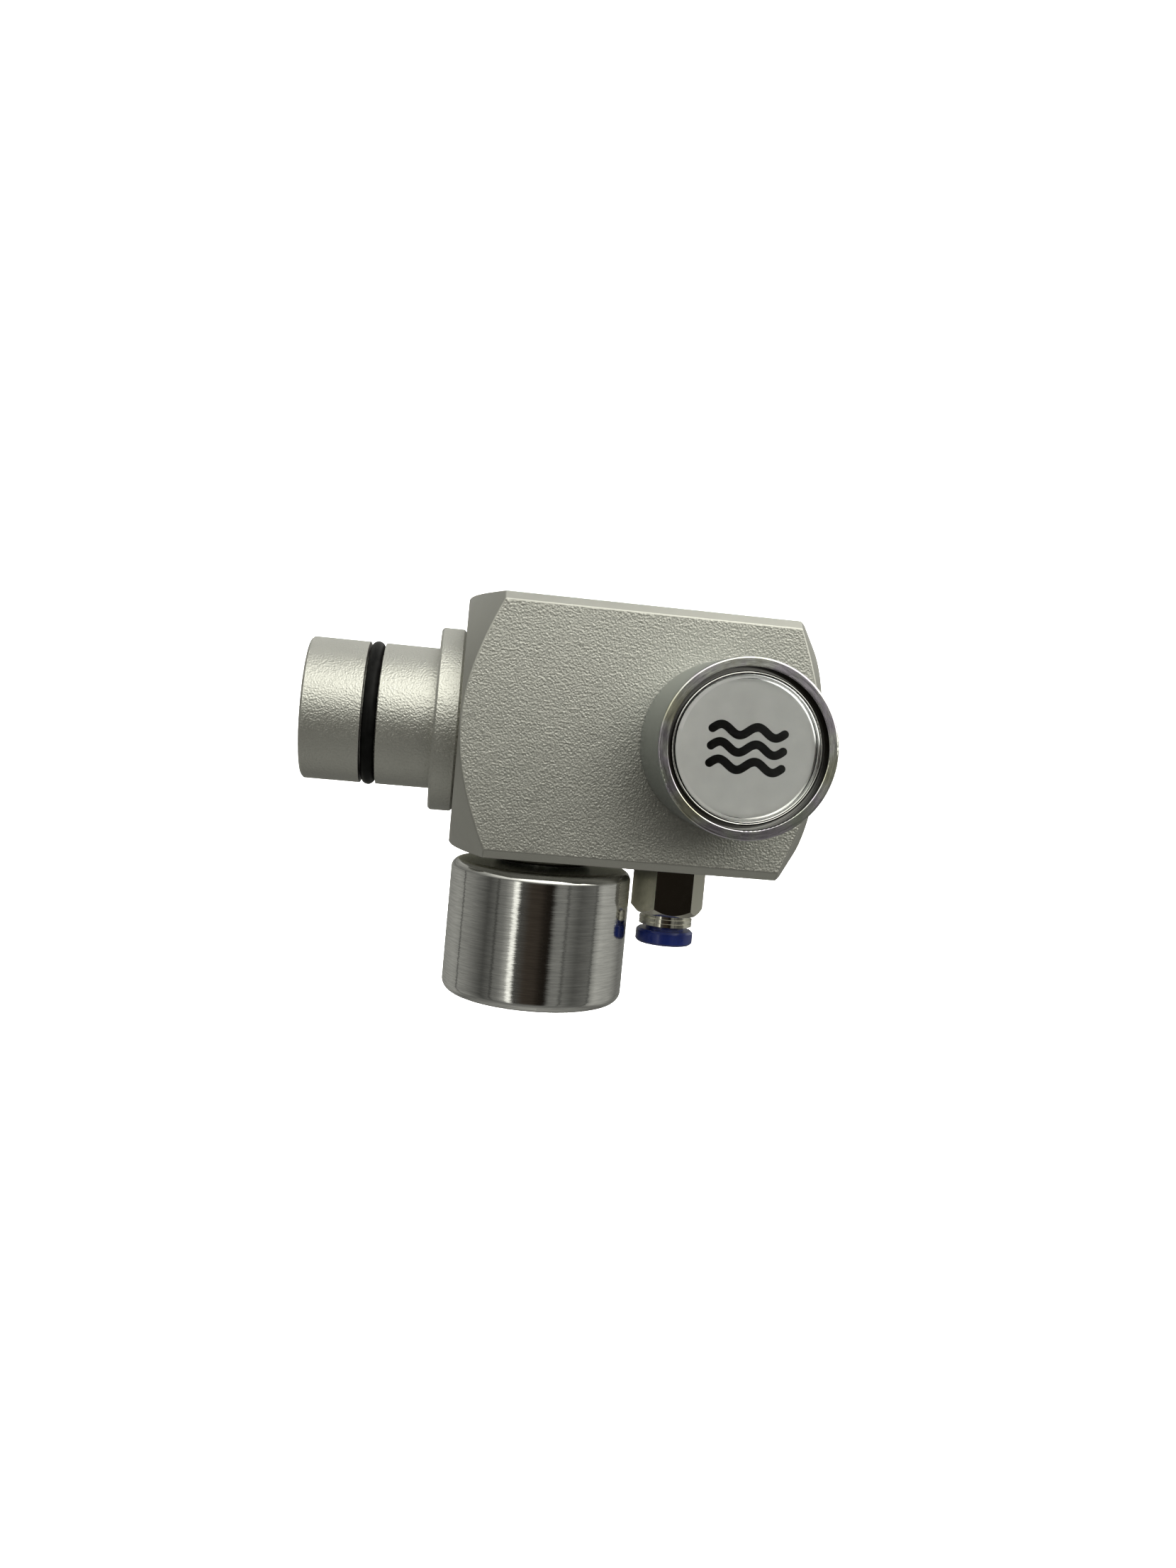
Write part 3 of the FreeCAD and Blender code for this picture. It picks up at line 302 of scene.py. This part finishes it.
def cap_steel():
    """Bright turned rim of the button; its walls, down in the gaps, are painted black, as painted shade in
    the gaps.
    """
    finish = Finish("cap_steel", Metallic=1.0, Roughness=0.12)
    place = finish.lathe_place("Y", centre("button_cap"), 1.5)
    lines = finish.noise(2600.0, detail=3.0, place=place)
    bright = finish.ramp(lines, [(0.3, (0.78, 0.78, 0.76)), (0.7, (0.92, 0.92, 0.90))])
    # Faces that look sideways are painted near-black: painted shade down in the gaps round the button.
    front = finish.step(finish.squarely("Y"), 0.15, 0.35)
    finish.colour(finish.blend(front, (0.015, 0.015, 0.014), bright))
    finish.rough(finish.mixed(front, 0.5, 0.12))
    finish.normal(finish.bump(lines, 0.003 * MM, 0.5))
    return finish.material


def bezel_chrome():
    """Chrome ring with polishing marks and a stained oil film; dull side wall; inside the bore it is painted
    black, as painted shade.
    """
    node = "button_bezel"
    film = {"Thin_Film_Thickness": 330.0, "Thin_Film_IOR": 1.2}
    finish = Finish("bezel_chrome", Metallic=1.0, Roughness=0.10, **film)
    place = finish.lathe_place("Y", centre(node), 1.5)
    marks = finish.noise(2400.0, detail=4.0, roughness=0.75, place=place)
    stain = finish.noise(130.0, detail=3.0)
    stained = finish.ramp(stain, [
        (0.36, (0.74, 0.73, 0.58)), (0.47, (0.97, 0.98, 0.94)),
        (0.58, (0.78, 0.72, 0.84)), (0.68, (0.70, 0.74, 0.66)),
    ])
    shade = finish.ramp(marks, [(0.38, (0.72, 0.72, 0.72)), (0.62, (1.0, 1.0, 1.0))])
    ring = finish.blend(1.0, stained, shade, "MULTIPLY")
    wall = finish.step(finish.squarely("Y"), 0.70, 0.30)
    outside = finish.blend(wall, ring, (0.36, 0.39, 0.385))
    # Inside the bore the colour is painted near-black: painted shade in the gap round the button.
    from_axis = finish.add("ShaderNodeSeparateXYZ", {0: place}).outputs["X"]
    bore_edge = BORE_SHARE * size(node).x / 2
    outside_bore = finish.step(from_axis, bore_edge, bore_edge + 0.05 * MM)
    finish.colour(finish.blend(outside_bore, (0.006, 0.006, 0.005), outside))
    finish.rough(finish.mixed(wall, finish.between(marks, 0.14, 0.30), 0.36))
    finish.normal(finish.bump(marks, 0.004 * MM, 0.6))
    return finish.material


def nickel_plate():
    """Nickel plate over brass: warm grey, glossy in front; the flats that face sideways are dulled and
    painted lighter, as painted light.
    """
    finish = Finish("nickel_plate", Metallic=1.0, Roughness=0.07)
    tones = [(0.3, (0.62, 0.60, 0.52)), (0.7, (0.74, 0.72, 0.64))]
    plate = finish.ramp(finish.noise(260.0, detail=3.0), tones)
    # The flats facing sideways are painted lighter: painted light on the side facets of the hex.
    side_flats = finish.step(finish.squarely("X"), 0.45, 0.65)
    finish.colour(finish.blend(side_flats, plate, (0.86, 0.85, 0.75)))
    finish.rough(finish.mixed(side_flats, finish.between(finish.noise(900.0, detail=3.0), 0.04, 0.09), 0.38))
    finish.normal(finish.bump(finish.noise(700.0, detail=2.0), 0.006 * MM, 0.5))
    return finish.material


def plain_metal(name, tone, roughness):
    """Machined metal of an inner piece."""
    grain = 900.0
    finish = Finish(name, Metallic=1.0, Roughness=roughness)
    dark, light = (tuple(channel * factor for channel in tone) for factor in (0.82, 1.08))
    finish.colour(finish.ramp(finish.noise(grain, detail=3.0), [(0.3, dark), (0.7, light)]))
    finish.rough(finish.between(finish.noise(grain * 1.7, detail=2.0), roughness * 0.7, roughness * 1.3))
    finish.normal(finish.bump(finish.noise(grain * 3.0), 0.006 * MM, 0.5))
    return finish.material


def sintered_bronze():
    """Pressed bronze beads, for the filter."""
    finish = Finish("sintered_bronze", Metallic=0.9, Roughness=0.55)
    beads = finish.cells(2600.0)
    # Darker towards each bead's edge: painted shade in the pores between the beads.
    finish.colour(finish.ramp(beads, [(0.0, (0.55, 0.36, 0.18)), (0.8, (0.10, 0.06, 0.03))]))
    finish.normal(finish.bump(finish.maths("SUBTRACT", 1.0, beads), 0.15 * MM, 0.9))
    return finish.material


def soft_rubber():
    """Black O-ring rubber with a light film of grease."""
    finish = Finish("seal_rubber", Roughness=0.30, Specular_IOR_Level=0.08)
    tones = [(0.3, (0.003, 0.003, 0.003)), (0.7, (0.009, 0.009, 0.009))]
    finish.colour(finish.ramp(finish.noise(500.0, detail=3.0), tones))
    finish.rough(finish.between(finish.noise(1400.0, detail=3.0), 0.24, 0.46))
    finish.normal(finish.bump(finish.noise(2600.0, detail=2.0), 0.01 * MM, 0.6))
    return finish.material


def moulded_plastic(name, dark, light, roughness, coat=0.0, shine=0.5):
    """Moulded plastic: slight mottling and a fine matt skin."""
    coating = {"Coat_Weight": coat, "Coat_Roughness": 0.12}
    finish = Finish(name, Roughness=roughness, Specular_IOR_Level=shine, **coating)
    finish.colour(finish.ramp(finish.noise(350.0, detail=3.0), [(0.3, dark), (0.7, light)]))
    finish.rough(finish.between(finish.noise(1200.0, detail=2.0), roughness * 0.8, roughness * 1.2))
    finish.normal(finish.bump(finish.noise(2200.0, detail=2.0), 0.008 * MM, 0.5))
    return finish.material


def clear_lens():
    """Polished clear acrylic."""
    finish = Finish("clear_lens", Roughness=0.015, IOR=1.49, Transmission_Weight=1.0)
    finish.colour(finish.ramp(finish.noise(60.0), [(0.3, (0.97, 0.98, 0.98)), (0.7, (1.0, 1.0, 1.0))]))
    finish.rough(finish.between(finish.noise(180.0, detail=3.0), 0.01, 0.03))
    return finish.material


def coat_nodes():
    """Give every CAD node its finish."""
    steel = plain_metal("bright_steel", (0.60, 0.60, 0.60), 0.22)
    brass = plain_metal("machined_brass", (0.72, 0.52, 0.24), 0.26)
    rubber = soft_rubber()
    white = moulded_plastic("white_ptfe", (0.72, 0.72, 0.70), (0.82, 0.82, 0.80), 0.45)
    nickel = nickel_plate()
    finishes = {
        "valve_block": blasted_aluminium("blasted_block", 0.53, 0.37, 0.084 * MM),
        "inlet_spigot": blasted_aluminium(
            "blasted_spigot", 0.60, 0.34, 0.105 * MM, "X", centre("inlet_spigot")
        ),
        "flow_knob": turned_knob(),
        "button_bezel": bezel_chrome(),
        "button_cap": cap_steel(),
        "button_label": moulded_plastic("label_white", (0.37, 0.37, 0.355), (0.41, 0.41, 0.395), 0.42),
        "button_lens": clear_lens(),
        # The bonnet's dark tone is painted shade, for the shadowed gap between the block and the knob.
        "bonnet": turned_metal("dull_bonnet", "bonnet", "Z", (0.16, 0.16, 0.14), 0.45, 0.3, 0.003 * MM),
        "inlet_filter": sintered_bronze(),
        "release_ring": moulded_plastic("blue_plastic", (0.004, 0.014, 0.13), (0.008, 0.024, 0.2), 0.3, 0.4),
    }
    groups = {
        "steel": steel, "brass": brass, "seal_rubber": rubber, "white_ptfe": white, "nickel_plate": nickel,
    }
    slot_of = {entry["node"]: entry["material_slot"] for entry in frame["record"]["subparts"]}
    for name, node in frame["nodes"].items():
        node.data.materials.clear()
        node.data.materials.append(finishes.get(name) or groups[slot_of[name]])


# ---------------------------------------------------------------- printed mark on the button


def wave_line(mesh, middle, length, swing, waves, width, segments=72):
    """One stroke of even width along a sine wave, with round ends, in the plane of the button."""
    half = width / 2
    points = []
    for step in range(segments + 1):
        along = (step / segments - 0.5) * length
        turn = 2 * math.pi * waves * step / segments
        slope = swing * 2 * math.pi * waves / length * math.cos(turn)
        side = Vector((-slope, 1.0)).normalized()
        points.append((Vector((along, swing * math.sin(turn))), side))
    first = [place + side * half for place, side in points]
    second = [place - side * half for place, side in points]
    outline = first + round_end(points[-1], half, 1) + second[::-1] + round_end(points[0], half, -1)
    corners = [mesh.verts.new((middle.x + p.x, middle.y, middle.z + p.y)) for p in outline]
    mesh.faces.new(corners)


def round_end(point, half, direction, steps=10):
    """The half circle that closes a stroke's end."""
    place, side = point
    forward = Vector((side.y, -side.x)) * direction
    start = side * direction
    arc = []
    for step in range(1, steps):
        angle = math.pi * step / steps
        arc.append(place + (start * math.cos(angle) + forward * math.sin(angle)) * half)
    return arc


def air_flow_mark():
    """Three printed waves, a generic sign for flowing gas, on the disc under the lens."""
    disc_low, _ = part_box("button_label")
    middle = centre("button_label")
    across = size("button_label").x
    mesh = bmesh.new()
    length, swing, stroke = (share * across for share in (WAVE_LENGTH, WAVE_SWING, WAVE_STROKE))
    for row in (-1, 0, 1):
        place = Vector((middle.x, disc_low.y - INK_GAP, middle.z + row * WAVE_GAP * across))
        wave_line(mesh, place, length, swing, WAVE_TURNS, stroke)
    bmesh.ops.triangulate(mesh, faces=mesh.faces)
    geometry = bmesh.ops.extrude_face_region(mesh, geom=mesh.faces[:])
    moved = [item for item in geometry["geom"] if isinstance(item, bmesh.types.BMVert)]
    bmesh.ops.translate(mesh, verts=moved, vec=(0, -INK_THICKNESS, 0))
    bmesh.ops.recalc_face_normals(mesh, faces=mesh.faces)
    mark = placed("air_flow_mark", mesh)
    ink = moulded_plastic("mark_ink", (0.002, 0.002, 0.002), (0.005, 0.005, 0.005), 0.6, shine=0.05)
    mark.data.materials.append(ink)
    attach(mark, "button")


# ---------------------------------------------------------------- springs copied from the CAD nodes


def working_spring(node):
    """A coil in place of a CAD spring: a copy of its mesh, fixed to the valve body, with the CAD node
    hidden.
    """
    coil = bpy.data.objects.new(f"{node}_coil", frame["nodes"][node].data.copy())
    bpy.context.scene.collection.objects.link(coil)
    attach(coil, "valve_body")
    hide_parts(node)
    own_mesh(coil)


# ---------------------------------------------------------------- studio

# The room, by azimuth in degrees: 0 is in front of the button, positive to the right.
GREY = (1.0, 0.995, 0.91)
BROWN = (1.0, 0.81, 0.62)
WALLS = [
    (-180, 0.13, GREY), (-128, 0.19, GREY), (-97, 0.13, GREY), (-70, 0.040, GREY), (-46, 0.11, GREY),
    (-37, 0.24, GREY), (-27, 0.045, GREY), (-14, 0.025, BROWN), (-2, 0.022, BROWN), (5, 0.010, BROWN),
    (13, 0.006, BROWN), (19, 0.11, GREY), (28, 0.12, GREY), (50, 0.052, GREY), (70, 0.08, GREY),
    (84, 0.24, GREY), (112, 0.19, GREY), (132, 0.10, GREY), (180, 0.13, GREY),
]
WINDOW = (-32.6, 2.6, 0.66)  # Middle and half width in degrees, brightness.
UPRIGHTS = [-114, -57, 33, 73]  # Thin dark stripes, such as door frames.

# The ceiling and floor, by elevation in degrees, and how bright the ceiling is to each side.
HEIGHTS = [
    (-90, 0.20), (-60, 0.13), (-25, 0.05), (0, 0.06), (8, 0.15), (17, 0.84), (26, 1.12), (50, 1.12),
    (65, 0.84), (80, 0.44), (90, 0.28),
]
SIDES = [
    (-180, 0.25), (-120, 0.16), (-80, 0.20), (-50, 0.54), (-20, 0.87), (12, 1.20), (40, 1.70), (70, 1.30),
    (110, 0.50), (180, 0.25),
]
WALL_SHARE = [(-42, 0.0), (-28, 1.0), (0, 1.0), (8, 0.0)]  # How much the walls count, by elevation.
ROOM_STRENGTH = 1.6
WINDOW_EDGE = 1.5
UPRIGHT_HALF = 0.8
UPRIGHT_EDGE = 1.2
UPRIGHT_SHARE = 0.7
UPRIGHT_TONE = (0.012, 0.012, 0.011)
SIDES_FULL = 14.0  # The elevation from which SIDES counts in full.

# The set, in metres.
FLOOR_DROP = 0.2
FLOOR_REACH = 3.0
FLOOR_HALF_WIDTH = 4.0
DOME_RADIUS = 6.0

CAMERA_PLACE = (4.1 * MM, -219.1 * MM, 1.1 * MM)
CAMERA_DEGREES = (87.215, -5.305, -6.320)
LENS = 27.02
SENSOR = 36.0


def sweep_floor():
    """A pale floor, below what the camera sees, that curves up into a backdrop."""
    bottom = cad_low.z - FLOOR_DROP
    radius = 0.5
    back = 1.1
    profile = [(-FLOOR_REACH, 0.0), (back, 0.0)]
    profile += [
        (back + radius * math.sin(a), radius * (1 - math.cos(a)))
        for a in (math.radians(6 * step) for step in range(1, 16))
    ]
    profile.append((back + radius, FLOOR_REACH))
    mesh = bmesh.new()
    sides = (-FLOOR_HALF_WIDTH, FLOOR_HALF_WIDTH)
    rows = [[mesh.verts.new((side, y, bottom + z)) for side in sides] for y, z in profile]
    for low, high in zip(rows, rows[1:]):
        mesh.faces.new((low[0], low[1], high[1], high[0]))
    floor = placed("backdrop", mesh)
    for face in floor.data.polygons:
        face.use_smooth = True
    finish = Finish("pale_paper", Roughness=0.9, Specular_IOR_Level=0.1, Emission_Strength=0.6)
    finish.glow()
    finish.colour(finish.ramp(finish.noise(3.0), [(0.3, (0.86, 0.86, 0.86)), (0.7, (0.89, 0.89, 0.89))]))
    floor.data.materials.append(finish.material)
    floor.visible_glossy = False
    floor.visible_diffuse = False


def pale_surround():
    """A plain white dome round the whole set, seen by the camera only."""
    mesh = bmesh.new()
    bmesh.ops.create_uvsphere(mesh, u_segments=48, v_segments=24, radius=DOME_RADIUS)
    dome = placed("surround", mesh)
    # Black itself, so that what shows is its own even glow.
    finish = Finish("white_glow", Roughness=1.0, Emission_Strength=1.0)
    finish.colour(finish.ramp(finish.noise(1.0), [(0.3, (0.0, 0.0, 0.0)), (0.7, (0.0, 0.0, 0.0))]))
    finish.glow()
    dome.data.materials.append(finish.material)
    dome.visible_glossy = False
    dome.visible_diffuse = False
    dome.visible_transmission = False
    dome.visible_shadow = False


def round_ramp(nodes, turn, stops):
    """A ramp all the way round the room, from (degrees, brightness, hue) stops."""
    colours = [
        ((degrees + 180) / 360, tuple(level * part for part in hue)) for degrees, level, hue in stops
    ]
    return nodes.ramp(turn, colours)


def height_ramp(nodes, lift, stops):
    """A ramp from straight down to straight up, from (degrees, brightness) stops."""
    colours = [((degrees + 90) / 180, tuple(level * part for part in GREY)) for degrees, level in stops]
    return nodes.ramp(lift, colours)


def upright(nodes, azimuth, middle, half, soft):
    """1 inside a vertical stripe of the room, falling to 0 over its soft edge; all in degrees."""
    away = nodes.maths("ABSOLUTE", nodes.maths("SUBTRACT", azimuth, middle))
    return nodes.share_of(away, half + soft, half)


def room():
    """World light: a wide bright ceiling that starts just above the horizon, dark walls below it."""
    world = bpy.data.worlds.new("studio")
    bpy.context.scene.world = world
    world.use_nodes = True
    nodes = Nodes(world.node_tree)
    split = nodes.add("ShaderNodeSeparateXYZ", {0: nodes.add("ShaderNodeTexCoord").outputs["Generated"]})
    forward = nodes.maths("MULTIPLY", split.outputs["Y"], -1.0)
    azimuth = nodes.maths("DEGREES", nodes.maths("ARCTAN2", split.outputs["X"], forward))
    elevation = nodes.maths("DEGREES", nodes.maths("ARCSINE", split.outputs["Z"]))
    turn = nodes.share_of(azimuth, -180.0, 180.0)
    lift = nodes.share_of(elevation, -90.0, 90.0)

    walls = round_ramp(nodes, turn, WALLS)
    middle, half, brightness = WINDOW
    pane = tuple(brightness * part for part in GREY)
    walls = nodes.blend(upright(nodes, azimuth, middle, half, WINDOW_EDGE), walls, pane)
    for middle in UPRIGHTS:
        stripe = upright(nodes, azimuth, middle, UPRIGHT_HALF, UPRIGHT_EDGE)
        walls = nodes.blend(nodes.maths("MULTIPLY", stripe, UPRIGHT_SHARE), walls, UPRIGHT_TONE)

    # Halved here and doubled below, which keeps the colours of this ramp under 1.
    sides = round_ramp(nodes, turn, [(degrees, level / 2, WHITE[:3]) for degrees, level in SIDES])
    upper = nodes.share_of(elevation, 0.0, SIDES_FULL)
    swept = nodes.blend(upper, (0.5, 0.5, 0.5), sides)
    dome = nodes.blend(1.0, height_ramp(nodes, lift, HEIGHTS), swept, "MULTIPLY")
    ceiling = nodes.add("ShaderNodeVectorMath", {0: dome, "Scale": 2.0}, operation="SCALE").outputs[0]

    share = nodes.ramp(lift, [((degrees + 90) / 180, (level,) * 3) for degrees, level in WALL_SHARE])
    background = nodes.tree.nodes["Background"]
    nodes.feed(background.inputs["Color"], nodes.blend(share, ceiling, walls))
    background.inputs["Strength"].default_value = ROOM_STRENGTH


def soft_light(name, place, target, width, depth, power):
    """A rectangular softbox."""
    light = bpy.data.lights.new(name, "AREA")
    light.shape = "RECTANGLE"
    light.size = width
    light.size_y = depth
    light.energy = power
    lamp = bpy.data.objects.new(name, light)
    lamp.location = place
    aim = Vector(target) - Vector(place)
    lamp.rotation_euler = aim.to_track_quat("-Z", "Y").to_euler()
    lamp.visible_glossy = False
    bpy.context.scene.collection.objects.link(lamp)


def lights():
    """Two lamps, behind and above the object, that help to keep the floor and backdrop pale."""
    soft_light("floor_light", (0.0, 0.5, 1.6), (0.0, -0.1, 0.0), 1.6, 0.6, 30.0)
    soft_light("backdrop_light", (0.0, 0.5, 1.6), (0.0, 1.5, 0.2), 2.5, 0.6, 60.0)


def camera():
    """The viewing position: level with the spigot, in front of the block's left end."""
    data = bpy.data.cameras.new("camera")
    data.lens = LENS
    data.sensor_width = SENSOR
    data.clip_start = 0.01
    viewer = bpy.data.objects.new("camera", data)
    viewer.location = CAMERA_PLACE
    viewer.rotation_euler = Euler([math.radians(angle) for angle in CAMERA_DEGREES])
    bpy.context.scene.collection.objects.link(viewer)
    bpy.context.scene.camera = viewer


coat_nodes()
air_flow_mark()
for spring in ("button_spring", "poppet_spring"):
    working_spring(spring)
sweep_floor()
pale_surround()
room()
lights()
camera()
bpy.context.scene.view_settings.view_transform = "Standard"
